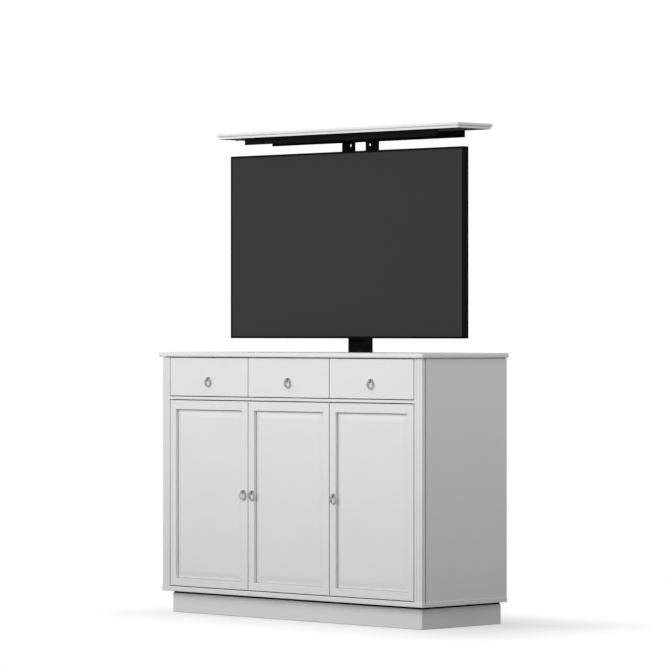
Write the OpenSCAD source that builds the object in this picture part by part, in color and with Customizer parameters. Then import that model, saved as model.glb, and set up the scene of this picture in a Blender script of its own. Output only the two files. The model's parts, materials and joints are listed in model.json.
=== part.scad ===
// Television lift cabinet: a low painted cabinet with three drawers over three doors, whose lid and
// television rise through a slot in the top on a three-stage telescopic column.
// X runs to the right and Z up. Depths run back from the front face of the corner posts, and place()
// then centres the part over its origin on the floor. It is drawn with the lift raised.

/* [Television] */
// Width of the television
tv_w = 1116; // [900:1:1300]
// Height of the television
tv_h = 636; // [560:1:680]
// Thickness of the slim case
tv_t = 25; // [18:0.5:40]
// Width of the border round the screen
bezel_w = 5; // [3:0.5:12]
// Depth of the front frame
bezel_d = 4; // [3:0.5:8]
// Thickness of the screen module
screen_t = 5; // [4:0.5:9]
// How far the screen sits behind the front of its frame
screen_in = 0.8; // [0.3:0.1:2]
// Wall of the television's case
case_wall = 3; // [2:0.5:5]
// Width of the electronics hump on the back
hump_w = 760; // [500:10:860]
// Height of the electronics hump
hump_h = 450; // [430:10:480]
// Thickness of the electronics hump
hump_t = 11; // [10:1:30]
// Height of the hump above the television's lower edge
hump_up = 8; // [4:1:20]
// Spacing of the four mounting screws, across and up
screw_pitch = 200; // [160:10:220]

/* [Cabinet] */
// Height of the cabinet
cab_h = 900; // [860:1:1000]
// Height of the set-back base
plinth_h = 74; // [50:1:120]
// How far the base stands back under the front and the sides
plinth_in = 25; // [10:1:60]
// How far the base stands in from the back
plinth_back_in = 1; // [0:0.5:20]
// Thickness of the base boards
plinth_t = 18; // [12:1:30]
// Thickness of the bottom board
bottom_t = 17; // [14:1:30]
// How far the bottom board stands proud at the front and the sides
bottom_over = 2.4; // [0:0.1:6]
// Thickness of the top board
top_t = 16; // [14:1:30]
// How far the top board stands proud at the front and the sides
top_over = 10; // [9:0.5:30]
// Width of the corner posts, and thickness of the sides behind them
post_w = 36; // [30:1:60]
// Depth of the corner posts
post_t = 14; // [10:0.5:17]
// Width of the shadow seam between a post and its side
seam_w = 3; // [1:0.5:5]
// Depth of the shadow seam
seam_in = 5; // [2:0.5:10]
// Spacing of the two flutes on each post
flute_pitch = 14; // [8:1:20]
// Width of a flute
flute_w = 2.4; // [1:0.2:4]
// Depth of a flute
flute_in = 1.2; // [0.5:0.1:3]
// Thickness of the back panel
back_t = 6; // [4:0.5:12]
// Radius of the cable outlet in the back panel
outlet_r = 30; // [15:1:40]
// Distance of the cable outlet from the middle
outlet_x = 300; // [100:10:450]
// Height of the cable outlet above the bottom board
outlet_up = 160; // [60:10:500]
// Radius of the two wall fixing holes
wall_hole_r = 2.75; // [2:0.25:5]
// Spacing of the two wall fixing holes
wall_hole_pitch = 900; // [400:10:1000]
// Distance of the wall fixing holes below the top board
wall_hole_down = 34; // [20:1:80]
// Distance from the front to the wall of the television bay
storage_d = 214; // [190:1:260]
// Thickness of the wall of the television bay
bay_wall_t = 10; // [6:1:18]
// Room between the bay wall and the front edge of the slot
bay_wall_room = 8; // [2:1:30]
// Thickness of the two dividers
divider_t = 16; // [10:1:22]
// Room between the slot and the back panel
back_room = 21.5; // [10:0.5:60]

/* [Drawers and doors] */
// Thickness of the drawer fronts and doors
front_t = 18; // [16:1:24]
// Gap round the drawer fronts and doors
gap = 3; // [2.3:0.1:5]
// Shadow gap under the top board
top_gap = 3; // [2:0.5:8]
// Height of the drawer fronts
drawer_h = 131; // [110:1:170]
// Height of the rail between drawers and doors
rail_h = 10; // [10:1:30]
// Room between the rail's back and the back of the doors
rail_back = 2; // [1:0.5:6]
// Width of a door's stiles
stile_w = 28; // [24:1:80]
// Width of a door's top and bottom rails
door_rail_w = 31; // [26:1:90]
// Depth of a door's sunk panel
panel_in = 12; // [3:0.5:13]
// Width of the slope round the sunk panel
slope_w = 1; // [1:0.5:14]
// Radius of the door pivot pins
pivot_r = 2.5; // [2:0.25:3]
// Distance of a door pivot from the door's front and edge
pivot_in = 5; // [4.5:0.1:5.5]
// Length of a pivot pin in the door
pivot_deep = 10; // [6:1:20]
// Length of a pivot pin in the rail or the bottom board
pivot_seat = 8; // [5:0.5:9]
// Height of a drawer box
box_h = 90; // [60:1:100]
// Height of a drawer box above the lower edge of its front
box_up = 12; // [4:1:20]
// Wall of a drawer box
box_wall = 12; // [10:1:16]
// Thickness of a drawer box's bottom
box_floor = 6; // [4:1:10]
// Room between a drawer box and the walls beside it
box_room = 5; // [3:0.5:12]
// Room behind a drawer box
box_back_room = 12; // [4:1:40]
// Height of a drawer runner
runner_h = 14; // [8:1:24]
// Depth of the runner's groove in the side of a drawer box
runner_in = 7; // [4:0.5:8]
// Distance of a runner's front end behind the drawer front
runner_back = 4; // [1:1:20]

/* [Ring pulls] */
// Radius of a ring at the middle of its wire
ring_r = 13; // [12:0.5:20]
// Thickness of a ring's wire
ring_wire = 8.5; // [3:0.25:10]
// Distance of a ring in front of the face
ring_out = 7.5; // [6:0.5:14]
// Distance of a door's ring from the door's free edge
ring_edge = 20; // [19:0.5:40]
// Distance of a drawer's pivot eye below the middle of the front
drawer_eye_down = 6.5; // [0:0.5:20]
// Width of the eye that holds a ring
eye_w = 6; // [4:0.5:7]
// Wall of the eye
eye_wall = 2; // [1.5:0.1:4]
// Room round the wire in the eye
eye_room = 0.8; // [0.7:0.1:1.2]
// Radius of the eye's plate
plate_r = 7.5; // [5:0.5:12]
// Thickness of the eye's plate
plate_t = 2.5; // [2:0.1:4]

/* [Slot and lid] */
// Room beside the television in the slot
slot_side = 5; // [4:0.5:20]
// Room in front of the screen in the slot
slot_front = 32; // [15:1:60]
// Room behind the column in the slot
slot_back = 5; // [4:0.5:20]
// Width of the top board left between the slot and the sides
slot_margin = 23; // [10:1:60]
// How far the lid laps over the top board beside the slot
lid_side_lap = 11.5; // [10:0.5:16]
// How far the lid laps over the top board in front of the slot
lid_front_lap = 12; // [10:0.5:30]
// How far the lid laps over the top board behind the slot
lid_back_lap = 2; // [0:0.5:10]
// Thickness of the lid's lower board
lid_low_t = 8.5; // [6:0.5:14]
// Thickness of the lid's upper board
lid_up_t = 9.5; // [6:0.5:16]
// How far the lid's upper board stands proud of the lower one
lid_lip = 5; // [5:0.5:8]
// Radius of the pads under the lid
pad_r = 4.5; // [3:0.5:5]
// Thickness of the pads under the lid
pad_t = 2.7; // [1.5:0.1:5]
// Number of pads along the lid's front edge
pad_count = 4; // [2:1:8]

/* [Lift] */
// Travel of the television and lid
travel = 740; // [640:2:760]
// Width of the inner column
inner_x = 64; // [60:1:80]
// Depth of the inner column
inner_y = 34; // [34:0.5:44]
// Wall of the column tubes
tube_wall = 2.5; // [2:0.1:3]
// Thickness of the plastic glides
glide_t = 2.5; // [2:0.1:4]
// Length of the plastic glides
glide_len = 40; // [20:1:60]
// Distance of a glide's edges from the corners of its tube
glide_edge = 7; // [4:0.5:10]
// Room between the column's outer stage and the top of the cabinet
head_room = 113; // [110:1:140]
// Distance between the drive housing and the lowered middle stage
foot_gap = 8; // [6:0.5:20]
// Distance between the lower ends of the lowered inner and middle stages
stage_step = 10; // [8:0.5:20]
// Thickness of the middle stage's end plate
end_t = 5; // [4:0.5:8]
// Thickness of the base plate
base_t = 6; // [4:0.5:10]
// Width of the base plate
base_w = 320; // [300:5:400]
// Depth of the base plate
base_d = 96; // [90:1:100]
// Height of the drive housing
house_h = 50; // [44:1:60]
// Depth of the drive housing
house_d = 68; // [64:1:80]
// Wall of the drive housing
house_wall = 4; // [3:0.5:6]
// Thickness of the drive housing's top
house_top_t = 6; // [5:0.5:10]
// How far the column's foot flange reaches beyond the column on each side
foot_flange = 13; // [11:0.5:15]
// Thickness of the column's foot flange
foot_flange_t = 4; // [3:0.5:6]
// Radius of the motor
motor_r = 28; // [22:0.5:29]
// Length of the motor
motor_len = 130; // [80:5:180]
// Distance of the motor from the column's axis
motor_x = 92; // [90:1:110]
// Radius of the motor shaft
motor_shaft_r = 4; // [3:0.5:5]
// Radius of the lower spindle
spindle_r = 5; // [4:0.25:6]
// Wall of the hollow upper spindle
spindle_wall = 2.7; // [2:0.1:3]
// Radius of the lower nut
nut_r = 11; // [10:0.5:12]
// Length of the nuts
nut_len = 24; // [16:1:24]
// Radius of the lower nut's flange
nut_flange_r = 14; // [13:0.5:18]
// Thickness of the lower nut's flange
nut_flange_t = 3; // [2:0.5:4]
// Length of the lower spindle inside the upper one when raised
spindle_hold = 50; // [30:5:120]
// Radius of the spindle's pulley
pulley_r = 18; // [14:0.5:19]
// Radius of the motor's pulley
motor_pulley_r = 9; // [8:0.5:13]
// Width of the drive belt
belt_w = 10; // [6:0.5:14]
// Thickness of the drive belt
belt_t = 1.5; // [1:0.1:2]
// Height of a pulley's rims above its running face
rim_h = 3; // [2.5:0.5:4]
// Thickness of a pulley's rims
rim_t = 2; // [1:0.5:3]
// Height of the pulleys above the base plate
pulley_up = 10; // [6:1:16]
// Width of the control box
control_w = 180; // [120:5:240]
// Height of the control box
control_h = 70; // [50:1:120]
// Depth of the control box
control_d = 40; // [30:1:50]
// Distance of the control box from the column's axis
control_x = 250; // [220:5:400]
// Height of the control box above the bottom board
control_up = 60; // [20:5:300]
// Width of the power inlet
inlet_w = 28; // [20:1:40]
// Height of the power inlet
inlet_h = 20; // [16:1:30]
// Depth of the power inlet
inlet_in = 12; // [8:1:20]

/* [Carriage] */
// Thickness of the hanger plate
hanger_t = 4; // [3:0.5:6]
// Width of the hanger's neck
hanger_w = 184; // [180:2:220]
// Width of the hanger's cross plate
cross_w = 264; // [260:2:320]
// Height of the hanger's cross plate
cross_h = 230; // [160:5:300]
// Room between the hanger and the outer column
hanger_room = 2; // [1:0.5:6]
// Width of a television rail
rail_w = 36; // [24:1:50]
// Depth of a television rail
rail_d = 12; // [10:0.5:20]
// Length of a television rail
rail_len = 260; // [250:5:320]
// Thickness of the steel sheet
sheet_t = 2; // [1.5:0.1:3]
// Width of the lid carrier
carrier_w = 924; // [600:2:1000]
// Height of the lid carrier
carrier_h = 23.4; // [18:0.1:30]
// Room in front of the lid carrier in the slot
carrier_front = 8; // [3:0.5:20]
// Room behind the lid carrier in the slot
carrier_back = 3.2; // [2:0.1:6]
// Gap between the television and the lid carrier
tv_head_gap = 36; // [10:0.5:60]
// Gap between the two uprights
upright_gap = 52; // [40:1:60]
// Width of an upright
upright_w = 61; // [50:1:64]
// Thickness of an upright
upright_t = 4; // [3:0.5:5]
// Depth of an upright's feet behind its plate
upright_foot = 15; // [13:0.5:16]
// Radius of the hole in an upright
upright_hole_r = 5; // [3:0.5:8]
// Distance of that hole from the upright's inner edge
upright_hole_in = 20; // [12:0.5:40]
// Distance of that hole below the lid carrier's lower edge
upright_hole_down = 11.6; // [8:0.1:30]

/* [Screws] */
// Radius of the mounting screws
screw_r = 3; // [2:0.25:3.5]
// Radius of a screw head
head_r = 5; // [4:0.25:5.5]
// Height of a screw head
head_h = 3.5; // [2:0.25:5]
// Length of a screw in what it holds to
screw_in = 8; // [5:0.5:8]
// Distance of the screws from the edges of the plates
screw_edge = 20; // [12:1:40]

/* [Clearances] */
// Room between sliding faces
slide_room = 0.3; // [0.2:0.05:0.5]
// Room round pins and shafts that turn
turn_room = 0.08; // [0.05:0.01:0.1]
// Room round pieces that stay put
fit_room = 0.1; // [0.05:0.05:0.2]
// Gap under the pads of the closed lid
rest_gap = 0.3; // [0.2:0.1:1]

/* [Hidden] */
$fn = 64;
bay_names = ["left", "middle", "right"];

white = [0.86, 0.86, 0.86];
inside = [0.80, 0.80, 0.79];
black = [0.07, 0.07, 0.07];
steel = [0.62, 0.63, 0.65];
nickel = [0.70, 0.70, 0.71];
nylon = [0.90, 0.90, 0.88];
cut = 1;

// Column sections, each stage one glide gap and one wall larger than the one inside it
glide_gap = glide_t + slide_room;
stage_grow = 2 * (glide_gap + tube_wall);
mid_x = inner_x + stage_grow;
mid_y = inner_y + stage_grow;
outer_x = mid_x + stage_grow;
outer_y = mid_y + stage_grow;

// Depths, from the front of the posts to the back panel
slot_d0 = storage_d + bay_wall_t + bay_wall_room;
tv_d = slot_d0 + slot_front;
hump_d = tv_d + tv_t;
rail_d0 = hump_d + hump_t;
hanger_d = rail_d0 + rail_d;
column_d0 = hanger_d + hanger_t + hanger_room;
lift_d = column_d0 + outer_y / 2;
slot_d1 = column_d0 + outer_y + slot_back;
back_d = slot_d1 + back_room;
body_d = back_d + back_t;
lid_d0 = slot_d0 - lid_front_lap;
lid_d1 = slot_d1 + lid_back_lap;
carrier_d0 = slot_d0 + carrier_front;
carrier_d1 = slot_d1 - carrier_back;

// Widths, from the television out to the sides
slot_w = tv_w + 2 * slot_side;
lid_w = slot_w + 2 * lid_side_lap;
opening_w = slot_w + 2 * slot_margin;
body_w = opening_w + 2 * post_w;
front_w = (opening_w - 4 * gap) / 3;
bay_pitch = front_w + gap;

// Heights of the cabinet
deck_z = plinth_h + bottom_t;
ceiling_z = cab_h - top_t;
drawer_z = ceiling_z - top_gap - drawer_h;
front_rail_z = drawer_z - gap - rail_h;
door_z = deck_z + gap;
door_h = front_rail_z - gap - door_z;
box_z = drawer_z + box_up;
runner_z = box_z + box_h / 2;

// Heights of the raised lift
base_z = deck_z + base_t;
house_z = base_z + house_h;
outer_top = cab_h - head_room;
stage_len = outer_top - house_z;
mid_z = house_z + foot_gap + travel / 2;
inner_z = house_z + foot_gap + stage_step + travel;
head_z = inner_z + stage_len;
upper_nut_z = inner_z + nut_len - stage_step + 2 * slide_room + end_t;
lid_z = cab_h + pad_t + rest_gap + travel;
web_z = lid_z - sheet_t;
tv_z = lid_z - carrier_h - tv_head_gap - tv_h;
tv_mid = tv_z + tv_h / 2;
pulley_z = base_z + pulley_up;
hanger_top = head_z + hanger_t;
upright_x = upright_gap / 2;
upright_d = lift_d - upright_t / 2;
upright_back = upright_d + upright_t + upright_foot / 2;
upright_screws = [upright_x + screw_edge, upright_x + upright_w - screw_edge];

// Ring pulls: how far an eye stands out, and where each one is
eye_hole_r = ring_wire / 2 + eye_room;
eye_r = eye_hole_r + eye_wall;
stem_r = eye_w / 3;
pull_reach = ring_out + eye_r;
drawer_eye_z = drawer_z + drawer_h / 2 - drawer_eye_down;
door_eye_z = door_z + door_h / 2 + ring_r;
hinge_side = [-1, 1, 1];

// The part's depth is centred between the pulls and the back
mid_depth = (body_d - pull_reach) / 2;

function bay_x(i) = (i - 1) * bay_pitch;
function bay_wall_x(i, side) =
    (i + side < 0 || i + side > 2) ? side * opening_w / 2 : bay_x(i) + side * (bay_pitch - divider_t) / 2;
function pivot_x(i) = bay_x(i) + hinge_side[i] * (front_w / 2 - pivot_in);
function pull_x(i) = bay_x(i) - hinge_side[i] * (front_w / 2 - ring_edge);

module place() {
    translate([0, -mid_depth, 0]) children();
}

// A block between two corners: widths x0 to x1, depths d0 to d1, heights z0 to z1
module block(x0, x1, d0, d1, z0, z1) {
    translate([x0, d0, z0]) cube([x1 - x0, d1 - d0, z1 - z0]);
}

// A block centred across the width
module slab(w, d0, d1, z0, z1) {
    block(-w / 2, w / 2, d0, d1, z0, z1);
}

// The children, and their mirror image across the middle
module both_sides() {
    children();
    mirror([1, 0, 0]) children();
}

module rod_x(r, w) {
    rotate([0, 90, 0]) cylinder(r = r, h = w, center = true);
}

module rod_y(r, d0, d1) {
    translate([0, d1, 0]) rotate([90, 0, 0]) cylinder(r = r, h = d1 - d0);
}

module rod_z(r, z0, z1) {
    translate([0, 0, z0]) cylinder(r = r, h = z1 - z0);
}

// A flat strip with round ends in the X and Y plane, centred
module round_strip(len, t) {
    square([len - t, t], center = true);
    for (side = [-1, 1]) translate([side * (len - t) / 2, 0]) circle(d = t);
}

// A board with round edges at both ends and the front, and at the back as well if back is true
module round_board(w, d0, d1, z0, t, back) {
    end = back ? d1 : d1 + t;
    intersection() {
        translate([0, d1, z0 + t / 2]) rotate([90, 0, 0]) linear_extrude(d1 - d0) round_strip(w, t);
        translate([-w / 2, (d0 + end) / 2, z0 + t / 2]) rotate([90, 0, 90]) linear_extrude(w)
            round_strip(end - d0, t);
    }
}

// A rectangular tube centred on the column's axis
module column(x, y, z0, z1) {
    translate([0, lift_d, 0]) difference() {
        slab(x, -y / 2, y / 2, z0, z1);
        slab(x - 2 * tube_wall, tube_wall - y / 2, y / 2 - tube_wall, z0 - cut, z1 + cut);
    }
}

// Four glide plates round a tube of section x by y, held off it by off
module glides(x, y, off, z0, z1) {
    translate([0, lift_d, 0]) {
        both_sides() translate([x / 2 + off, 0, 0])
            block(0, glide_t, glide_edge - y / 2, y / 2 - glide_edge, z0, z1);
        for (side = [0, 180]) rotate([0, 0, side])
            slab(x - 2 * glide_edge, y / 2 + off, y / 2 + off + glide_t, z0, z1);
    }
}

// A screw that points up: head below z, shank above it
module screw_up(z, len) {
    rod_z(head_r, z - head_h, z);
    rod_z(screw_r, z - head_h / 2, z + len);
}

module plinth() {
    half = body_w / 2 - plinth_in;
    d1 = body_d - plinth_back_in;
    color(white) difference() {
        slab(2 * half, plinth_in, d1, 0, plinth_h);
        slab(2 * (half - plinth_t), plinth_in + plinth_t, d1 - plinth_t, -cut, plinth_h + cut);
    }
}

module bottom_board() {
    color(white) difference() {
        slab(body_w + 2 * bottom_over, -bottom_over, body_d, plinth_h, deck_z);
        for (i = [0:2]) translate([pivot_x(i), pivot_in, 0])
            rod_z(pivot_r + fit_room, deck_z - pivot_seat, deck_z + cut);
        base_screws() rod_z(screw_r + fit_room, deck_z - screw_in, deck_z + cut);
    }
}

module side_panel() {
    color(white) {
        block(opening_w / 2, body_w / 2, post_t + seam_w, body_d, deck_z, ceiling_z);
        block(opening_w / 2, body_w / 2 - seam_in, post_t, post_t + seam_w + cut, deck_z, ceiling_z);
    }
}

module left_side() {
    mirror([1, 0, 0]) side_panel();
}

module right_side() {
    side_panel();
}

module corner_posts() {
    color(white) both_sides() difference() {
        block(opening_w / 2, body_w / 2, 0, post_t, deck_z, ceiling_z);
        for (side = [-1, 1]) translate([(opening_w + post_w + side * flute_pitch) / 2, 0, deck_z - cut])
            linear_extrude(ceiling_z - deck_z + 2 * cut)
                polygon([[-flute_w / 2, 0], [0, -cut], [flute_w / 2, 0], [0, flute_in]]);
    }
}

module back_panel() {
    color(inside) difference() {
        slab(opening_w, back_d, body_d, deck_z, ceiling_z);
        translate([outlet_x, 0, deck_z + outlet_up]) rod_y(outlet_r, back_d - cut, body_d + cut);
        for (side = [-1, 1]) translate([side * wall_hole_pitch / 2, 0, ceiling_z - wall_hole_down])
            rod_y(wall_hole_r, back_d - cut, body_d + cut);
    }
}

module top_board() {
    color(white) difference() {
        round_board(body_w + 2 * top_over, -top_over, body_d, ceiling_z, top_t, false);
        slab(slot_w, slot_d0, slot_d1, ceiling_z - cut, cab_h + cut);
    }
}

module front_rail() {
    color(white) difference() {
        slab(opening_w, 0, front_t + rail_back, front_rail_z, front_rail_z + rail_h);
        for (i = [0:2]) translate([pivot_x(i), pivot_in, 0])
            rod_z(pivot_r + fit_room, front_rail_z - cut, front_rail_z + pivot_seat);
    }
}

module bay_wall() {
    color(inside) slab(opening_w, storage_d, storage_d + bay_wall_t, deck_z, ceiling_z);
}

module dividers() {
    color(inside) both_sides() translate([bay_pitch / 2, 0, 0])
        slab(divider_t, front_t + rail_back, storage_d, deck_z, ceiling_z);
}

// Each runner is a bar on the wall beside a drawer box, and reaches into the groove in the box's side
module drawer_runners() {
    reach = box_room + runner_in - slide_room;
    d1 = storage_d - box_back_room;
    color(steel) for (i = [0:2], side = [-1, 1]) translate([bay_wall_x(i, side) - side * reach / 2, 0, 0])
        slab(reach, front_t + runner_back, d1, runner_z - runner_h / 2, runner_z + runner_h / 2);
}

module door_pivots() {
    color(steel) for (i = [0:2]) translate([pivot_x(i), pivot_in, 0]) {
        rod_z(pivot_r, deck_z - pivot_seat, door_z + pivot_deep);
        rod_z(pivot_r, door_z + door_h - pivot_deep, front_rail_z + pivot_seat);
    }
}

// The places of the four screws that hold the base plate down
module base_screws() {
    both_sides() for (side = [-1, 1])
        translate([base_w / 2 - screw_edge, lift_d + side * (base_d / 2 - head_r - cut), 0]) children();
}

// The places of the four screws in the column's foot flange
module foot_screws() {
    both_sides() for (side = [-1, 1])
        translate([(outer_x + foot_flange) / 2, lift_d + side * outer_y / 4, 0]) children();
}

module lift_base() {
    color(black) difference() {
        slab(base_w, lift_d - base_d / 2, lift_d + base_d / 2, deck_z, base_z);
        base_screws() rod_z(screw_r + fit_room, deck_z - cut, base_z + cut);
    }
}

module drive_housing() {
    x0 = -outer_x / 2 - foot_flange;
    x1 = motor_x + motor_r + house_wall;
    d0 = lift_d - house_d / 2;
    d1 = lift_d + house_d / 2;
    color([0.30, 0.31, 0.32]) difference() {
        block(x0, x1, d0, d1, base_z, house_z);
        block(x0 + house_wall, x1 - house_wall, d0 + house_wall, d1 - house_wall,
            base_z - cut, house_z - house_top_t);
        translate([0, lift_d, 0]) rod_z(spindle_r + turn_room, base_z, house_z + cut);
        translate([motor_x, lift_d, 0]) rod_z(motor_shaft_r + turn_room, base_z, house_z + cut);
        foot_screws() rod_z(screw_r + fit_room, house_z - house_top_t - cut, house_z + cut);
    }
}

module outer_column() {
    d0 = lift_d - outer_y / 2;
    d1 = lift_d + outer_y / 2;
    z1 = house_z + foot_flange_t;
    color(black) {
        column(outer_x, outer_y, house_z, outer_top);
        difference() {
            slab(outer_x + 2 * foot_flange, d0, d1, house_z, z1);
            slab(outer_x - tube_wall, d0 + tube_wall, d1 - tube_wall, house_z - cut, z1 + cut);
            foot_screws() rod_z(screw_r + fit_room, house_z - cut, z1 + cut);
        }
    }
}

module outer_glides() {
    color(nylon) glides(mid_x, mid_y, slide_room, outer_top - glide_len, outer_top);
}

// The motor stands on the drive housing, with a smaller end bell and a bore for its shaft
module motor() {
    bell_h = motor_r / 4;
    color([0.16, 0.16, 0.17]) translate([motor_x, lift_d, 0]) difference() {
        union() {
            rod_z(motor_r, house_z, house_z + motor_len);
            rod_z(motor_r - bell_h, house_z + motor_len - cut, house_z + motor_len + bell_h);
        }
        rod_z(motor_shaft_r + turn_room, house_z - cut, house_z + motor_len / 4 + cut);
    }
}

// A belt pulley between two rims
module pulley(r) {
    top_z = pulley_z + 2 * (rim_t + slide_room) + belt_w;
    rod_z(r + rim_h, pulley_z, pulley_z + rim_t);
    rod_z(r, pulley_z, top_z);
    rod_z(r + rim_h, top_z - rim_t, top_z);
}

// The belt runs straight between the pulleys and round each of them, on its tangent angle
module drive_belt() {
    r0 = pulley_r + slide_room;
    r1 = motor_pulley_r + slide_room;
    tangent = acos((r0 - r1) / motor_x);
    run = sqrt(pow(motor_x, 2) - pow(r0 - r1, 2));
    color([0.10, 0.10, 0.10]) translate([0, lift_d, pulley_z + rim_t + slide_room]) {
        rotate([0, 0, tangent]) rotate_extrude(angle = 360 - 2 * tangent)
            translate([r0, 0]) square([belt_t, belt_w]);
        translate([motor_x, 0, 0]) rotate([0, 0, -tangent]) rotate_extrude(angle = 2 * tangent)
            translate([r1, 0]) square([belt_t, belt_w]);
        for (side = [0, 1]) mirror([0, side, 0]) rotate([0, 0, tangent - 90]) translate([0, r0, 0])
            cube([run, belt_t, belt_w]);
    }
}

// The control box: a closed case, and an end cap with the power inlet
module control_box() {
    x0 = -control_x - control_w / 2;
    cap_x = x0 + inlet_in;
    d0 = back_d - control_d;
    z0 = deck_z + control_up;
    color([0.20, 0.20, 0.21]) {
        block(cap_x + fit_room, x0 + control_w, d0, back_d, z0, z0 + control_h);
        difference() {
            block(x0, cap_x, d0, back_d, z0, z0 + control_h);
            block(x0 - cut, cap_x + cut, d0 + (control_d - inlet_w) / 2, back_d - (control_d - inlet_w) / 2,
                z0 + (control_h - inlet_h) / 2, z0 + (control_h + inlet_h) / 2);
        }
    }
}

module lift_screws() {
    color(steel) {
        base_screws() {
            rod_z(head_r, base_z, base_z + head_h);
            rod_z(screw_r, deck_z - screw_in, base_z + head_h / 2);
        }
        foot_screws() {
            rod_z(head_r, house_z + foot_flange_t, house_z + foot_flange_t + head_h);
            rod_z(screw_r, house_z - house_top_t, house_z + foot_flange_t + head_h / 2);
        }
    }
}

// The lower spindle stands in the drive housing and carries its pulley
module lower_spindle() {
    color(steel) translate([0, lift_d, 0]) {
        rod_z(spindle_r, base_z + slide_room, mid_z + nut_len + spindle_hold);
        pulley(pulley_r);
    }
}

module motor_pulley() {
    color(steel) translate([motor_x, lift_d, 0]) {
        rod_z(motor_shaft_r, base_z + slide_room, house_z + motor_len / 4);
        pulley(motor_pulley_r);
    }
}

module middle_column() {
    plate_y = mid_y - tube_wall;
    color(black) {
        column(mid_x, mid_y, mid_z, mid_z + stage_len);
        translate([0, lift_d, 0]) difference() {
            slab(mid_x - tube_wall, -plate_y / 2, plate_y / 2, mid_z, mid_z + end_t);
            rod_z(nut_r + fit_room, mid_z - cut, mid_z + end_t + cut);
        }
    }
}

// Glides outside the middle stage's foot and inside its head
module middle_glides() {
    color(nylon) {
        glides(mid_x, mid_y, 0, mid_z, mid_z + glide_len);
        glides(inner_x, inner_y, slide_room, mid_z + stage_len - glide_len, mid_z + stage_len);
    }
}

module lower_nut() {
    color([0.72, 0.60, 0.34]) translate([0, lift_d, 0]) difference() {
        union() {
            rod_z(nut_r, mid_z - nut_flange_t, mid_z + nut_len);
            rod_z(nut_flange_r, mid_z - nut_flange_t, mid_z);
        }
        rod_z(spindle_r + turn_room, mid_z - nut_flange_t - cut, mid_z + nut_len + cut);
    }
}

// The hollow upper spindle turns on the lower nut, round the lower spindle
module upper_spindle() {
    bore = spindle_r + slide_room;
    z0 = mid_z + nut_len + slide_room;
    z1 = upper_nut_z + nut_len + stage_step;
    color(steel) translate([0, lift_d, 0]) difference() {
        rod_z(bore + spindle_wall, z0, z1);
        rod_z(bore, z0 - cut, z1 + cut);
    }
}

module inner_column() {
    color(black) column(inner_x, inner_y, inner_z, head_z);
}

module inner_glides() {
    color(nylon) glides(inner_x, inner_y, 0, inner_z, inner_z + glide_len);
}

module upper_nut() {
    inset = tube_wall + fit_room;
    bore = spindle_r + slide_room + spindle_wall + turn_room;
    z1 = upper_nut_z + nut_len;
    color([0.72, 0.60, 0.34]) translate([0, lift_d, 0]) difference() {
        slab(inner_x - 2 * inset, inset - inner_y / 2, inner_y / 2 - inset, upper_nut_z, z1);
        rod_z(bore, upper_nut_z - cut, z1 + cut);
    }
}

// A bent plate: its flange sits on the inner column, its neck hangs in front of the stages
module tv_hanger() {
    d1 = lift_d + inner_y / 2 + upright_t;
    color(black) difference() {
        union() {
            slab(hanger_w, hanger_d, d1, head_z, hanger_top);
            slab(hanger_w, hanger_d, hanger_d + hanger_t, tv_mid, hanger_top);
            slab(cross_w, hanger_d, hanger_d + hanger_t, tv_mid - cross_h / 2, tv_mid + cross_h / 2);
        }
        both_sides() for (x = upright_screws) translate([x, upright_back, 0])
            rod_z(screw_r + fit_room, head_z - cut, hanger_top + cut);
    }
}

// Two upright channels, open to the back, between the television and the hanger
module tv_rails() {
    z0 = tv_mid - rail_len / 2;
    z1 = tv_mid + rail_len / 2;
    color(black) both_sides() translate([screw_pitch / 2, 0, 0]) difference() {
        slab(rail_w, rail_d0, hanger_d, z0, z1);
        slab(rail_w - 2 * sheet_t, rail_d0 + sheet_t, hanger_d + cut, z0 - cut, z1 + cut);
        for (side = [-1, 1]) translate([0, 0, tv_mid + side * screw_pitch / 2])
            rod_y(screw_r + fit_room, rail_d0 - cut, rail_d0 + sheet_t + cut);
    }
}

// The places of the four screws from the carrier's ends into the lid
module lid_screws() {
    both_sides() for (d = [carrier_d0 + screw_edge, carrier_d1 - screw_edge])
        translate([carrier_w / 2 - screw_edge, d, 0]) children();
}

// The places of the screws in the uprights' feet
module foot_places() {
    both_sides() for (x = upright_screws) translate([x, upright_back, 0]) children();
}

module carriage_screws() {
    color(black) {
        both_sides() for (side = [-1, 1]) translate([screw_pitch / 2, 0, tv_mid + side * screw_pitch / 2]) {
            rod_y(head_r, rail_d0 + sheet_t, rail_d0 + sheet_t + head_h);
            rod_y(screw_r, rail_d0 - screw_in, rail_d0 + sheet_t + head_h / 2);
        }
        lid_screws() screw_up(web_z, sheet_t + screw_in);
        foot_places() screw_up(web_z - upright_t, upright_t + sheet_t + screw_in);
        foot_places() {
            rod_z(head_r, hanger_top + upright_t, hanger_top + upright_t + head_h);
            rod_z(screw_r, head_z, hanger_top + upright_t + head_h / 2);
        }
    }
}

// Each upright is a plate with a foot at each end, bent to the back
module lid_uprights() {
    plate_d1 = upright_d + upright_t;
    hole_z = lid_z - carrier_h - upright_hole_down;
    color(black) both_sides() difference() {
        translate([upright_x, 0, 0]) {
            block(0, upright_w, upright_d, plate_d1, hanger_top, web_z);
            block(0, upright_w, upright_d, plate_d1 + upright_foot, hanger_top, hanger_top + upright_t);
            block(0, upright_w, upright_d, plate_d1 + upright_foot, web_z - upright_t, web_z);
        }
        translate([upright_x + upright_hole_in, 0, hole_z])
            rod_y(upright_hole_r, upright_d - cut, plate_d1 + cut);
        for (x = upright_screws) translate([x, upright_back, 0]) {
            rod_z(screw_r + fit_room, hanger_top - cut, hanger_top + upright_t + cut);
            rod_z(screw_r + fit_room, web_z - upright_t - cut, web_z + cut);
        }
    }
}

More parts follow.
